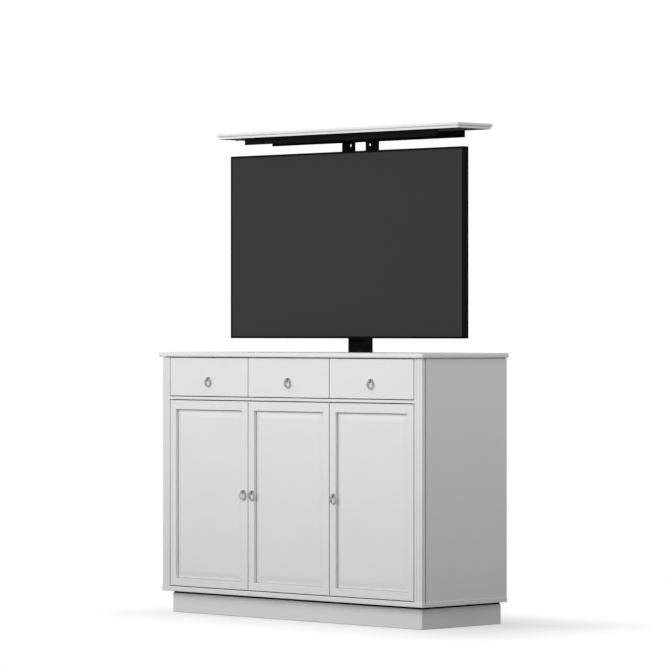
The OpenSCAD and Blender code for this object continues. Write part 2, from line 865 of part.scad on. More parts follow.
// A plate under the lid, with a flat bar on edge below its front edge and its back edge
module lid_carrier() {
    color(black) {
        difference() {
            slab(carrier_w, carrier_d0, carrier_d1, web_z, lid_z);
            lid_screws() rod_z(screw_r + fit_room, web_z - cut, lid_z + cut);
            foot_places() rod_z(screw_r + fit_room, web_z - cut, lid_z + cut);
        }
        for (d = [carrier_d0, carrier_d1 - sheet_t])
            slab(carrier_w, d, d + sheet_t, lid_z - carrier_h, web_z - fit_room);
    }
}

// Two boards, the upper one with round edges that stand proud of the lower one
module lid() {
    upper_z = lid_z + lid_low_t;
    color(white) difference() {
        union() {
            slab(lid_w, lid_d0, lid_d1, lid_z, upper_z + lid_up_t / 2);
            round_board(lid_w + 2 * lid_lip, lid_d0 - lid_lip, lid_d1 + lid_lip, upper_z, lid_up_t, true);
        }
        lid_screws() rod_z(screw_r + fit_room, lid_z - cut, lid_z + screw_in);
        foot_places() rod_z(screw_r + fit_room, lid_z - cut, lid_z + screw_in);
    }
}

// Pads in the lap of the lid: a row along the front, and one at each end
module lid_pads() {
    step = slot_w / pad_count;
    color([0.25, 0.25, 0.25]) {
        for (i = [0:pad_count - 1]) translate([(i + 0.5) * step - slot_w / 2, slot_d0 - lid_front_lap / 2, 0])
            rod_z(pad_r, lid_z - pad_t, lid_z);
        both_sides() translate([(slot_w + lid_side_lap) / 2, (slot_d0 + slot_d1) / 2, 0])
            rod_z(pad_r, lid_z - pad_t, lid_z);
    }
}

module tv_back_cover() {
    d0 = tv_d + bezel_d;
    color(black) difference() {
        union() {
            slab(tv_w, d0, hump_d, tv_z, tv_z + tv_h);
            slab(hump_w, hump_d - case_wall, rail_d0, tv_z + hump_up, tv_z + hump_up + hump_h);
        }
        slab(tv_w - 2 * case_wall, d0 - cut, hump_d - case_wall, tv_z + case_wall, tv_z + tv_h - case_wall);
        both_sides() for (side = [-1, 1]) translate([screw_pitch / 2, 0, tv_mid + side * screw_pitch / 2])
            rod_y(screw_r + fit_room, rail_d0 - screw_in - fit_room, rail_d0 + cut);
    }
}

module tv_frame() {
    color([0.05, 0.05, 0.05]) difference() {
        slab(tv_w, tv_d, tv_d + bezel_d, tv_z, tv_z + tv_h);
        slab(tv_w - 2 * bezel_w, tv_d - cut, tv_d + bezel_d + cut, tv_z + bezel_w, tv_z + tv_h - bezel_w);
    }
}

module tv_screen() {
    edge = bezel_w + fit_room;
    color([0.23, 0.23, 0.23])
        slab(tv_w - 2 * edge, tv_d + screen_in, tv_d + screen_in + screen_t, tv_z + edge, tv_z + tv_h - edge);
}

module drawer_front(i) {
    color(white) translate([bay_x(i), 0, 0]) slab(front_w, 0, front_t, drawer_z, drawer_z + drawer_h);
}

// An open box behind the front, with a groove along each side for its runner
module drawer_box(i) {
    x0 = bay_wall_x(i, -1) + box_room;
    x1 = bay_wall_x(i, 1) - box_room;
    d1 = storage_d - box_back_room;
    groove_h = runner_h + 2 * slide_room;
    color([0.78, 0.72, 0.62]) difference() {
        block(x0, x1, front_t, d1, box_z, box_z + box_h);
        block(x0 + box_wall, x1 - box_wall, front_t + box_wall, d1 - box_wall,
            box_z + box_floor, box_z + box_h + cut);
        for (side = [-1, 1]) translate([side < 0 ? x0 + runner_in - 2 * box_wall : x1 - runner_in, 0, 0])
            block(0, 2 * box_wall, front_t - cut, d1 + cut, runner_z - groove_h / 2, runner_z + groove_h / 2);
    }
}

// A sunk rectangle of w by h with sloping sides, centred, from the front face back to depth deep
module sunk_panel(w, h, deep) {
    flare = slope_w * cut / deep;
    intersection() {
        translate([0, 0, -h]) linear_extrude(2 * h) polygon([
            [-w / 2 - flare, -cut], [w / 2 + flare, -cut], [w / 2 - slope_w, deep], [slope_w - w / 2, deep]]);
        translate([-w, 0, 0]) rotate([90, 0, 90]) linear_extrude(2 * w) polygon([
            [-cut, -h / 2 - flare], [-cut, h / 2 + flare], [deep, h / 2 - slope_w], [deep, slope_w - h / 2]]);
    }
}

module door(i) {
    color(white) difference() {
        translate([bay_x(i), 0, 0]) slab(front_w, 0, front_t, door_z, door_z + door_h);
        translate([bay_x(i), 0, door_z + door_h / 2])
            sunk_panel(front_w - 2 * stile_w, door_h - 2 * door_rail_w, panel_in);
        translate([pivot_x(i), pivot_in, 0]) {
            rod_z(pivot_r + turn_room, door_z - cut, door_z + pivot_deep + slide_room);
            rod_z(pivot_r + turn_room, door_z + door_h - pivot_deep - slide_room, door_z + door_h + cut);
        }
    }
}

// The fixed piece of a pull: a round plate on the face, with an eye for the ring on a short stem
module pull_eye(x, z) {
    color(nickel) translate([x, 0, z]) difference() {
        union() {
            rod_y(plate_r, -plate_t, 0);
            rod_y(stem_r, -ring_out, 0);
            translate([0, -ring_out, 0]) rod_x(eye_r, eye_w);
        }
        translate([0, -ring_out, 0]) rod_x(eye_hole_r, eye_w + 2 * cut);
        translate([-eye_w, 0, -eye_r]) cube([2 * eye_w, eye_r, 2 * eye_r]);
    }
}

// The ring hangs from its eye, one ring radius below it
module pull_ring(x, z) {
    color(nickel) translate([x, -ring_out, z - ring_r]) rotate([90, 0, 0]) rotate_extrude()
        translate([ring_r, 0]) circle(d = ring_wire);
}

place() plinth();
place() bottom_board();
place() left_side();
place() right_side();
place() corner_posts();
place() back_panel();
place() top_board();
place() front_rail();
place() bay_wall();
place() dividers();
place() drawer_runners();
place() door_pivots();
place() lift_base();
place() drive_housing();
place() outer_column();
place() outer_glides();
place() motor();
place() drive_belt();
place() control_box();
place() lift_screws();
place() lower_spindle();
place() motor_pulley();
place() middle_column();
place() middle_glides();
place() lower_nut();
place() upper_spindle();
place() inner_column();
place() inner_glides();
place() upper_nut();
place() tv_hanger();
place() tv_rails();
place() carriage_screws();
place() lid_uprights();
place() lid_carrier();
place() lid();
place() lid_pads();
place() tv_back_cover();
place() tv_frame();
place() tv_screen();
for (i = [0:2]) {
    place() drawer_front(i);
    place() drawer_box(i);
    place() pull_eye(bay_x(i), drawer_eye_z);
    place() pull_ring(bay_x(i), drawer_eye_z);
    place() door(i);
    place() pull_eye(pull_x(i), door_eye_z);
    place() pull_ring(pull_x(i), door_eye_z);
}
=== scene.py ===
import json
import math

import bpy
import numpy as np
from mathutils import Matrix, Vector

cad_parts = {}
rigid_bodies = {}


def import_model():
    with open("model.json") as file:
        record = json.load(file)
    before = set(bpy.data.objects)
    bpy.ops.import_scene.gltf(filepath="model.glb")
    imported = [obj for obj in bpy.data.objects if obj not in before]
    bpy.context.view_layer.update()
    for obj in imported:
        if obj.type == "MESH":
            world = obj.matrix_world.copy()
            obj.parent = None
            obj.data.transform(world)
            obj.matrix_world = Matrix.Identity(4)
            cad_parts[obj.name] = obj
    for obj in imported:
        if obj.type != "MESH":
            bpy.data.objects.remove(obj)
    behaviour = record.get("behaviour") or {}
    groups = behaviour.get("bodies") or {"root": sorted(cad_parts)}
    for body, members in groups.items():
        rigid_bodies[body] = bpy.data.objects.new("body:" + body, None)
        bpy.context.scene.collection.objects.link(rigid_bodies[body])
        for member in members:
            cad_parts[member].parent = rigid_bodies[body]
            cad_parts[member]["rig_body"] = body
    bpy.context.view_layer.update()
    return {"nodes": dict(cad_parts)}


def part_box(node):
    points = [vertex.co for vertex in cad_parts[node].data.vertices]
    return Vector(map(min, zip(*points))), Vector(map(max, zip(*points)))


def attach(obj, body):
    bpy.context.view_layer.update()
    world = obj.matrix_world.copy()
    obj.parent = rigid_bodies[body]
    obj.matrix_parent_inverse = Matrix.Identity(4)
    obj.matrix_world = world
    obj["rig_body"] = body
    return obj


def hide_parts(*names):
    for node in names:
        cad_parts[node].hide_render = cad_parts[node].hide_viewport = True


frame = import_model()

# Plinth: four MDF boards glued into a base that stands back under the cabinet, and sprayed with
# satin white lacquer. A black plastic strip, hooked over their inner edge, packs the body up; it is
# near black so that the gap over the boards shows as painted shade.
mm = 0.001
X, Y, Z = range(3)
plinth_board = 18 * mm
broken_edge = 1.2 * mm
least_corner = 0.2 * mm
gap_height = 8 * mm
gap_depth = 3 * mm
strip_wall = 12 * mm
strip_hook = 20 * mm


def linear(shade):
    """An sRGB hex colour as linear RGBA.

    A channel c becomes c / 12.92 in the dark end, and ((c + 0.055) / 1.055) ** 2.4 above it.
    """
    c = np.array([int(shade[i:i + 2], 16) for i in (1, 3, 5)]) / 255
    return (*np.where(c <= 0.04045, c / 12.92, ((c + 0.055) / 1.055) ** 2.4), 1.0)


def add(tree, kind, sockets, **settings):
    """Adds a node with its settings.

    A socket, by name or by number where names repeat, gets a value or a link.
    """
    made = tree.nodes.new(kind)
    for key, value in settings.items():
        setattr(made, key, value)
    for key, value in sockets.items():
        if isinstance(value, bpy.types.NodeSocket):
            tree.links.new(value, made.inputs[key])
        else:
            made.inputs[key].default_value = value
    return made


def blank(name):
    """A new material with an empty tree: returns it, its tree and its Object coordinates."""
    made = bpy.data.materials.new(name)
    made.use_nodes = True
    made.node_tree.nodes.clear()
    place = add(made.node_tree, "ShaderNodeTexCoord", {}).outputs["Object"]
    return made, made.node_tree, place


def fillet(corners, radii, steps=6):
    """Path through the corners, each rounded by its radius.

    Where the path turns by an angle t, the arc starts r * tan(t / 2) before the corner, and is
    that start turned about its centre from 0 to t. Returns the points, and for each whether the
    stretch after it is part of an arc.
    """
    corners = np.asarray(corners, float)
    points, arc = [], []
    for i, (corner, radius) in enumerate(zip(corners, np.broadcast_to(radii, len(corners)))):
        if not radius:
            points.append(corner[None])
            arc.append([False])
            continue
        before, after = corner - corners[i - 1], corners[(i + 1) % len(corners)] - corner
        before, after = before / np.hypot(*before), after / np.hypot(*after)
        turn = math.atan2(before[0] * after[1] - before[1] * after[0], before @ after)
        start = corner - before * radius * math.tan(abs(turn) / 2)
        centre = start + math.copysign(radius, turn) * np.array([-before[1], before[0]])
        t, out = np.linspace(0, turn, steps + 1)[:, None], start - centre
        points.append(centre + np.cos(t) * out + np.sin(t) * np.array([-out[1], out[0]]))
        arc.append([True] * steps + [False])
    return np.concatenate(points), np.concatenate(arc)


def rectangles(low, high, radius, steps=4):
    """Rings (k, n, 2) round the rectangles low to high (k, 2), with corners of the given radii (k).

    A point is its corner's centre plus radius * (cos a, sin a), where a runs over a quarter turn in
    each corner. Returns the rings, and for each point whether the stretch after it is part of an
    arc.
    """
    low, high = np.atleast_2d(low)[:, None, None], np.atleast_2d(high)[:, None, None]
    radius = np.broadcast_to(radius, len(low))[:, None, None, None]
    a = np.pi / 2 * (np.arange(4)[:, None] + np.linspace(0, 1, steps + 1))
    quarter = np.array([[1, 1], [-1, 1], [-1, -1], [1, -1]])[:, None]
    rings = (low + high) / 2 + quarter * ((high - low) / 2 - radius)
    rings = rings + radius * np.stack([np.cos(a), np.sin(a)], -1)
    return rings.reshape(len(low), -1, 2), np.tile([True] * steps + [False], 4)


def set_up(rings, level, axis):
    """Flat rings (k, n, 2) set across an axis at their levels (k), the other two axes in order."""
    level = np.broadcast_to(np.reshape(level, (-1, 1)), rings.shape[:2])
    return np.insert(rings, axis, level, axis=2)


def skin(rings, along, across, closed=False):
    """Closed skin over rings of points (k, n, 3).

    A quad joins each stretch of a ring to the same stretch of the next. The last ring joins the
    first where closed is true, and otherwise a flat face caps each end. Quads on an arc along the
    rings or round a ring are smooth, unless they lie flat across an axis. The skin is turned inside
    out if its volume, the sum of a . (b x c) over its triangles, is below zero. Returns the points,
    faces and smooth flags.
    """
    thinnest = 1e-7
    k, n = rings.shape[:2]
    i, j = np.arange(k if closed else k - 1)[:, None], np.arange(n)
    after, beside = (i + 1) % k, (j + 1) % n
    quads = np.stack([i * n + j, i * n + beside, after * n + beside, after * n + j], -1)
    quads = quads.reshape(-1, 4)
    smooth = (np.asarray(along)[:len(i), None] | np.asarray(across)[None, :]).ravel()
    points = rings.reshape(-1, 3)
    smooth &= np.ptp(points[quads], axis=1).min(axis=1) > thinnest
    ends = [] if closed else [np.arange(n)[::-1], np.arange(n) + (k - 1) * n]
    a, b, c, d = points[quads].swapaxes(0, 1)
    volume = (a * np.cross(b, c)).sum() + (a * np.cross(c, d)).sum()
    volume += sum((points[e[0]] * np.cross(points[e[1:-1]], points[e[2:]])).sum() for e in ends)
    faces = quads.tolist() + [end.tolist() for end in ends]
    if volume < 0:
        faces = [face[::-1] for face in faces]
    return points, faces, [*smooth.tolist(), *[False] * len(ends)]


def piece(name, skins, material, nodes):
    """A mesh of one or more closed skins that stands for CAD nodes and rides on their body."""
    skins = skins if isinstance(skins, list) else [skins]
    starts = np.cumsum([0] + [len(points) for points, _, _ in skins]).tolist()
    faces = [[v + start for v in face]
             for (_, skin_faces, _), start in zip(skins, starts) for face in skin_faces]
    mesh = bpy.data.meshes.new(name)
    mesh.from_pydata(np.concatenate([points for points, _, _ in skins]).tolist(), [], faces)
    mesh.polygons.foreach_set("use_smooth", [flag for _, _, flags in skins for flag in flags])
    mesh.materials.append(material)
    made = bpy.data.objects.new(name, mesh)
    bpy.context.scene.collection.objects.link(made)
    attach(made, frame["nodes"][nodes[0]]["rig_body"])
    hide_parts(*nodes)


def carried_round(low, high, profile, arc, axis, corner, closed=False):
    """A profile of (inset, level) carried round the rectangle low to high, drawn in by the inset.

    A ring's corner radius is the outer one less its inset, and at least least_corner.
    """
    inset, level = np.asarray(profile).T
    low, high = np.delete(low, axis), np.delete(high, axis)
    radius = np.maximum(corner - inset, least_corner)
    rings, across = rectangles(low + inset[:, None], high - inset[:, None], radius)
    return skin(set_up(rings, level, axis), arc, across, closed)


# Sprayed lacquer has a soft sheen over a faint orange peel. Its crests stand about 2 mm apart and
# are drawn at 5 mm, as coarse as they need to be to show, and the tone drifts by a level or two
# over a hand's width. Gaps and inside corners, found by ambient occlusion within 5 mm, are painted
# grey as painted shade.
white_lacquer, tree, place = blank("satin_white_lacquer")
drift = add(tree, "ShaderNodeTexNoise", {"Vector": place, "Scale": 1 / (140 * mm), "Detail": 2.0})
peel = add(tree, "ShaderNodeTexNoise", {"Vector": place, "Scale": 1 / (5 * mm), "Detail": 1.0})
tone = add(tree, "ShaderNodeMix", {
    0: drift.outputs[0], 6: linear("#E3E3E3"), 7: linear("#E7E7E7")}, data_type="RGBA")
# Painted shade: ambient occlusion within 5 mm mixes the lacquer's tone towards #8A8A8A in gaps and
# inside corners.
corner_shade_ao = add(tree, "ShaderNodeAmbientOcclusion", {"Distance": 5 * mm}, samples=8)
cover = add(tree, "ShaderNodeMapRange", {
    "Value": corner_shade_ao.outputs["AO"], "From Min": 0.25, "From Max": 0.85})
shaded_lacquer_tone = add(tree, "ShaderNodeMix", {
    0: cover.outputs[0], 6: linear("#8A8A8A"), 7: tone.outputs[2]}, data_type="RGBA")
sheen = add(tree, "ShaderNodeMapRange", {
    "Value": peel.outputs[0], "To Min": 0.48, "To Max": 0.56})
relief = add(tree, "ShaderNodeBump", {
    "Height": peel.outputs[0], "Strength": 0.1, "Distance": 0.05 * mm})
shader = add(tree, "ShaderNodeBsdfPrincipled", {
    "Base Color": shaded_lacquer_tone.outputs[2], "Roughness": sheen.outputs[0], "Normal": relief.outputs[0],
    "IOR": 1.5, "Specular IOR Level": 0.2})
add(tree, "ShaderNodeOutputMaterial", {"Surface": shader.outputs[0]})

low, high = np.array(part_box("plinth"))
ledge = high[Z] - gap_height
section = [(0, low[Z]), (0, ledge), (plinth_board, ledge), (plinth_board, low[Z])]
profile, arc = fillet(section, [broken_edge, broken_edge / 2, broken_edge, broken_edge])
boards = carried_round(low, high, profile, arc, Z, 2 * broken_edge, closed=True)
piece("plinth_boards", boards, white_lacquer, ["plinth"])

# The strip's near black, dull PVC paints the gap over the boards dark, as painted shade. The marks
# of the die are finer than 1 mm, and are drawn at 3 mm to show.
gap_shade_pvc, tree, place = blank("extruded_black_pvc")
die_marks = add(tree, "ShaderNodeTexNoise", {
    "Vector": place, "Scale": 1 / (3 * mm), "Detail": 2.0})
rough = add(tree, "ShaderNodeMapRange", {
    "Value": die_marks.outputs[0], "To Min": 0.6, "To Max": 0.7})
shader = add(tree, "ShaderNodeBsdfPrincipled", {
    "Base Color": linear("#0C0C0C"), "Roughness": rough.outputs[0], "IOR": 1.54,
    "Specular IOR Level": 0.04})
add(tree, "ShaderNodeOutputMaterial", {"Surface": shader.outputs[0]})

hook_back, hook_end = plinth_board + strip_wall, ledge - strip_hook
section = [(gap_depth, ledge), (gap_depth, high[Z]), (hook_back, high[Z]), (hook_back, hook_end),
           (plinth_board, hook_end), (plinth_board, ledge)]
profile, arc = fillet(section, [0, 0, broken_edge, broken_edge, broken_edge, 0])
strip = carried_round(low, high, profile, arc, Z, 2 * broken_edge, closed=True)
piece("shadow_strip", strip, gap_shade_pvc, ["plinth"])

# Bottom board: one lacquered MDF board that carries the sides and stands a hair proud of them. It
# is screwed to the plinth from above, and its edges are rounded over.
bottom_edge = 2 * mm
face_border = 12 * mm


def rounded_board(low, high, axis, edges, corner):
    """A board whose two faces lie across an axis.

    Its profile, the first rounded edge, the wall and the second rounded edge, is carried round it.
    """
    border = min(face_border, np.delete(high - low, axis).min() / 3)
    ends = [(border, low[axis]), (0, low[axis]), (0, high[axis]), (border, high[axis])]
    profile, arc = fillet(ends, [0, *edges, 0])
    return carried_round(low, high, profile, arc, axis, corner)


low, high = np.array(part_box("bottom_board"))
board = rounded_board(low, high, Z, [bottom_edge, bottom_edge], bottom_edge)
piece("base_board", board, white_lacquer, ["bottom_board"])

# Sides: two thick lacquered panels that stand on the bottom board. A tongue along the front edge is
# set back, so that a dark seam shows beside the corner post glued to it, and so is the upper edge
# under the top.
seam_width = 4 * mm
seam_depth = 14 * mm
side_edge = 0.5 * mm
neck_height = 1.6 * mm
neck_depth = 6 * mm


def extruded(outline, arc, start, end, axis):
    """A flat outline carried straight along an axis, and closed by a flat face at each end."""
    rings = np.broadcast_to(outline, (2, *outline.shape))
    return skin(set_up(rings, [start, end], axis), [False], arc)


for name, sign in (("left_side", -1), ("right_side", 1)):
    low, high = np.array(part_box(name))
    inner, outer = sorted((low[X], high[X]), key=abs)
    shoulder = high[Z] - neck_height
    tongue, seam_back = outer - sign * seam_depth, low[Y] + seam_width
    plan = [(inner, low[Y]), (tongue, low[Y]), (tongue, seam_back), (outer, seam_back),
            (outer, high[Y]), (inner, high[Y])]
    outline, arc = fillet(plan, [0, 0, 0, side_edge, side_edge, 0])
    panel = extruded(outline, arc, low[Z], shoulder, Z)
    set_in = outer - sign * neck_depth
    neck = np.array([(inner, low[Y]), (set_in, low[Y]), (set_in, high[Y]), (inner, high[Y])])
    neck = extruded(neck, [False] * len(neck), shoulder, high[Z], Z)
    piece(name + "_panel", [panel, neck], white_lacquer, [name])

# Corner posts: two lacquered strips glued to the front edges of the sides, with two fine flutes cut
# down the face of each, and the outer corner rounded over.
flute_spacing = 14 * mm
flute_width = 2.8 * mm
flute_depth = 1.4 * mm
flute_round = 0.2 * mm
inner_round = 0.6 * mm
outer_round = 0.8 * mm
low, high = np.array(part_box("corner_posts"))
shoulder = high[Z] - neck_height
post_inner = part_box("right_side")[0][X]
flutes = (post_inner + high[X]) / 2 + np.array([-0.5, 0.5]) * flute_spacing
face = [(x + side * flute_width / 2, low[Y] + (side == 0) * flute_depth)
        for x in flutes for side in (-1, 0, 1)]
plan = np.array([(post_inner, high[Y]), (post_inner, low[Y]), *face,
                 (high[X], low[Y]), (high[X], high[Y])])
softened = [0, inner_round, *[flute_round] * len(face), outer_round, 0]
set_back, set_in = low[Y] + neck_depth, high[X] - neck_depth
neck = np.array([(post_inner, set_back), (set_in, set_back), (set_in, high[Y]),
                 (post_inner, high[Y])])
posts = []
for sign in (-1, 1):
    outline, arc = fillet(plan * [sign, 1], softened)
    posts.append(extruded(outline, arc, low[Z], shoulder, Z))
    posts.append(extruded(neck * [sign, 1], [False] * len(neck), shoulder, high[Z], Z))
piece("fluted_posts", posts, white_lacquer, ["corner_posts"])

# Inside of the cabinet: the back panel, the wall in front of the television's bay and the two
# dividers are thin boards with a pale melamine face, let into grooves and pinned.
# The pressed face is half matt, with a pearl of about 1 mm that is drawn at 4 mm to show.
pale_board, tree, place = blank("melamine_board")
pearl = add(tree, "ShaderNodeTexNoise", {"Vector": place, "Scale": 1 / (4 * mm), "Detail": 3.0})
tone = add(tree, "ShaderNodeMix", {
    0: pearl.outputs[0], 6: linear("#D6D5D2"), 7: linear("#DEDDDA")}, data_type="RGBA")
relief = add(tree, "ShaderNodeBump", {
    "Height": pearl.outputs[0], "Strength": 0.2, "Distance": 0.05 * mm})
shader = add(tree, "ShaderNodeBsdfPrincipled", {
    "Base Color": tone.outputs[2], "Roughness": 0.55, "Normal": relief.outputs[0],
    "Specular IOR Level": 0.3})
add(tree, "ShaderNodeOutputMaterial", {"Surface": shader.outputs[0]})


def dress(material, *nodes):
    """Gives CAD nodes, whose shapes are right as they are, their finish."""
    for name in nodes:
        frame["nodes"][name].data.materials.clear()
        frame["nodes"][name].data.materials.append(material)


dress(pale_board, "back_panel", "bay_wall", "dividers")

# Runners, pivots and screws: bars and turned pins of mild steel, bright zinc plated. The runners
# are screwed to the walls beside each drawer, and the pivots are pressed into the bottom board and
# the rail. The plating shines unevenly, in clouds of about 9 mm.
zinc_steel, tree, place = blank("zinc_plated_steel")
cloud = add(tree, "ShaderNodeTexNoise", {"Vector": place, "Scale": 1 / (9 * mm), "Detail": 4.0})
tone = add(tree, "ShaderNodeMix", {
    0: cloud.outputs[0], 6: linear("#A9ABAE"), 7: linear("#C2C4C6")}, data_type="RGBA")
rough = add(tree, "ShaderNodeMapRange", {
    "Value": cloud.outputs[0], "To Min": 0.28, "To Max": 0.42})
shader = add(tree, "ShaderNodeBsdfPrincipled", {
    "Base Color": tone.outputs[2], "Metallic": 1.0, "Roughness": rough.outputs[0]})
add(tree, "ShaderNodeOutputMaterial", {"Surface": shader.outputs[0]})
dress(zinc_steel, "drawer_runners", "door_pivots", "lift_screws")

# Front rail: a slim lacquered strip between the drawers and the doors, doweled into the sides.
# Only its narrow face shows.
low, high = np.array(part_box("front_rail"))
strip = rounded_board(low, high, Y, [broken_edge, broken_edge], broken_edge)
piece("rail_strip", strip, white_lacquer, ["front_rail"])

# Foot of the lift: a steel base plate screwed to the bottom board, and on it a cast housing for the
# belt drive. The plate is powder coated black, the housing is bead-blasted aluminium alloy.
# The coat is dry and nearly matt. Its grains are about 0.5 mm, and are drawn at 1.5 mm to show.
black_coat, tree, place = blank("black_powder_coat")
grain = add(tree, "ShaderNodeTexNoise", {"Vector": place, "Scale": 1 / (1.5 * mm), "Detail": 2.0})
tone = add(tree, "ShaderNodeMix", {
    0: grain.outputs[0], 6: linear("#101010"), 7: linear("#171717")}, data_type="RGBA")
relief = add(tree, "ShaderNodeBump", {
    "Height": grain.outputs[0], "Strength": 0.4, "Distance": 0.1 * mm})
shader = add(tree, "ShaderNodeBsdfPrincipled", {
    "Base Color": tone.outputs[2], "Roughness": 0.7, "Normal": relief.outputs[0],
    "Specular IOR Level": 0.03})
add(tree, "ShaderNodeOutputMaterial", {"Surface": shader.outputs[0]})
dress(black_coat, "lift_base")

# Blasting leaves an even, dull grey. Its dents are about 0.2 mm, and are drawn at 0.8 mm to show.
blasted_alloy, tree, place = blank("blasted_cast_aluminium")
dents = add(tree, "ShaderNodeTexNoise", {"Vector": place, "Scale": 1 / (0.8 * mm), "Detail": 2.0})
rough = add(tree, "ShaderNodeMapRange", {
    "Value": dents.outputs[0], "To Min": 0.5, "To Max": 0.7})
relief = add(tree, "ShaderNodeBump", {
    "Height": dents.outputs[0], "Strength": 0.5, "Distance": 0.1 * mm})
shader = add(tree, "ShaderNodeBsdfPrincipled", {
    "Base Color": linear("#8B8D90"), "Metallic": 1.0, "Roughness": rough.outputs[0],
    "Normal": relief.outputs[0]})
add(tree, "ShaderNodeOutputMaterial", {"Surface": shader.outputs[0]})
dress(blasted_alloy, "drive_housing")

# Column: three rectangular steel tubes that slide in one another, folded with tight corners and
# powder coated black. The outer one is welded to a foot flange on the housing, and the middle one
# has an end plate for the lower nut.
tube_wall = 2.5 * mm
tube_round = 1 * mm
tube_end_round = 0.4 * mm
flange_height = 4 * mm
foot_reach = 13 * mm
end_plate = 5 * mm
nut_radius = 11.1 * mm


def tube(low, high):
    """A rectangular tube along Z: its wall's section, with eased ends, carried round it."""
    ends = [(0, low[Z]), (0, high[Z]), (tube_wall, high[Z]), (tube_wall, low[Z])]
    profile, arc = fillet(ends, tube_end_round, steps=3)
    return carried_round(low, high, profile, arc, Z, tube_round, closed=True)


low, high = np.array(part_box("outer_column"))
reach = np.array([foot_reach, 0, 0])
lugs = []
for start, end in ((low[X], low[X] + foot_reach), (high[X] - foot_reach, high[X])):
    lug_low = np.array([start, *low[1:]])
    lug_high = np.array([end, high[Y], low[Z] + flange_height])
    lugs.append(rounded_board(lug_low, lug_high, Z, [broken_edge, broken_edge], 2 * broken_edge))
piece("outer_tube", [tube(low + reach, high - reach), *lugs], black_coat, ["outer_column"])


def bored_plate(low, high, radius):
    """A flat plate across Z with a round hole in its middle.

    Each point of the hole lies on the ray from the middle to a point of the outline, and the four
    rings go up the outline and down the hole.
    """
    outline, arc = rectangles(low[:Z], high[:Z], tube_wall)
    middle = (low + high)[:Z] / 2
    ray = outline[0] - middle
    hole = middle + radius * ray / np.hypot(*ray.T)[:, None]
    rings = np.stack([outline[0], outline[0], hole, hole])
    rings = set_up(rings, [low[Z], high[Z], high[Z], low[Z]], Z)
    return skin(rings, [False, False, True, False], arc, closed=True)


low, high = np.array(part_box("middle_column"))
plate_low = low + [tube_wall, tube_wall, 0]
plate_high = np.array([*high[:Z] - tube_wall, low[Z] + end_plate])
piece("middle_tube", [tube(low, high), bored_plate(plate_low, plate_high, nut_radius)], black_coat,
      ["middle_column"])
low, high = np.array(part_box("inner_column"))
piece("inner_tube", tube(low, high), black_coat, ["inner_column"])

# Glides and nuts: the glides are moulded nylon plates clipped to the tubes, and the nuts are turned
# from brass bar and hold the spindles' threads.
# Undyed nylon is milky and lets a little light in, with flow marks about a finger's width apart.
nylon, tree, place = blank("natural_nylon")
flow = add(tree, "ShaderNodeTexNoise", {"Vector": place, "Scale": 1 / (12 * mm), "Detail": 2.0})
tone = add(tree, "ShaderNodeMix", {
    0: flow.outputs[0], 6: linear("#DEDBD0"), 7: linear("#E8E6DD")}, data_type="RGBA")
shader = add(tree, "ShaderNodeBsdfPrincipled", {
    "Base Color": tone.outputs[2], "Roughness": 0.45, "IOR": 1.53, "Subsurface Weight": 0.1})
add(tree, "ShaderNodeOutputMaterial", {"Surface": shader.outputs[0]})
dress(nylon, "outer_glides", "middle_glides", "inner_glides")

# The turning tool leaves fine rings that break up the shine of the brass. A wave's bands lie 0.31
# of its size apart, so they are 0.6 mm apart here, coarser than the real 0.1 mm, to show.
brass, tree, place = blank("turned_brass")
turning = add(tree, "ShaderNodeTexWave", {
    "Vector": place, "Scale": 1 / (2 * mm), "Distortion": 0.6}, bands_direction="Z")
rough = add(tree, "ShaderNodeMapRange", {
    "Value": turning.outputs[1], "To Min": 0.22, "To Max": 0.34})
shader = add(tree, "ShaderNodeBsdfPrincipled", {
    "Base Color": linear("#C6A560"), "Metallic": 1.0, "Roughness": rough.outputs[0]})
add(tree, "ShaderNodeOutputMaterial", {"Surface": shader.outputs[0]})
dress(brass, "lower_nut", "upper_nut")

# Spindles: rolled steel screws, zinc plated, with a two-start thread that rises 10 mm a turn. The
# lower one carries its belt pulley in the housing, and the hollow upper one turns with it on the
# lower nut.
thread_rise = 10 * mm
thread_starts = 2
thread_depth = 0.9 * mm
spindle_radius = 5 * mm
upper_bore = 5.3 * mm
pulley_face = 18 * mm
pulley_rim = 3 * mm
pulley_round = 0.3 * mm
rim_width = 2 * mm
belt_clearance = 0.3 * mm


def turned(profile, arc, centre, axis, steps=64, closed=False):
    """A profile of (radius, height) turned about an axis through centre.

    The point at angle t is radius * (cos t, sin t) across the axis and height along it. Only its
    flat rings are left unsmoothed.
    """
    radius, height = np.asarray(profile).T
    t = 2 * np.pi * np.arange(steps) / steps
    circle = np.stack([np.cos(t), np.sin(t)], -1)
    rings = np.delete(centre, axis) + radius[:, None, None] * circle
    bent = np.asarray(arc) | (np.roll(height, -1) != height)
    rings = set_up(rings, centre[axis] + height, axis)
    return skin(rings, bent, np.full(steps, False), closed)


def threaded(centre, start, end, radius, bore=0, steps=24, rows=8):
    """A threaded bar along Z, with the given number of rows of points to each thread.

    Its radius falls by thread_depth * (1 - cos p) / 2, where the phase p grows by a turn for each
    start as the angle does, and by a turn for each start over the thread's rise along the height.
    A bore, if there is one, is lined by two more rings.
    """
    count = int((end - start) / thread_rise * thread_starts * rows)
    z, t = np.linspace(start, end, count)[:, None], 2 * np.pi * np.arange(steps) / steps
    phase = thread_starts * (2 * np.pi * z / thread_rise - t)
    r = radius - thread_depth * (1 - np.cos(phase)) / 2
    bent = np.full(count, True)
    if bore:
        z = np.append(z, [[end], [start]], axis=0)
        r = np.append(r, np.full((2, steps), bore), axis=0)
        bent = np.append(bent[1:], [False, True, False])
    x, y = centre[X] + r * np.cos(t), centre[Y] + r * np.sin(t)
    rings = np.stack([x, y, np.broadcast_to(z, r.shape)], -1)
    return skin(rings, bent, np.full(steps, False), closed=bore > 0)


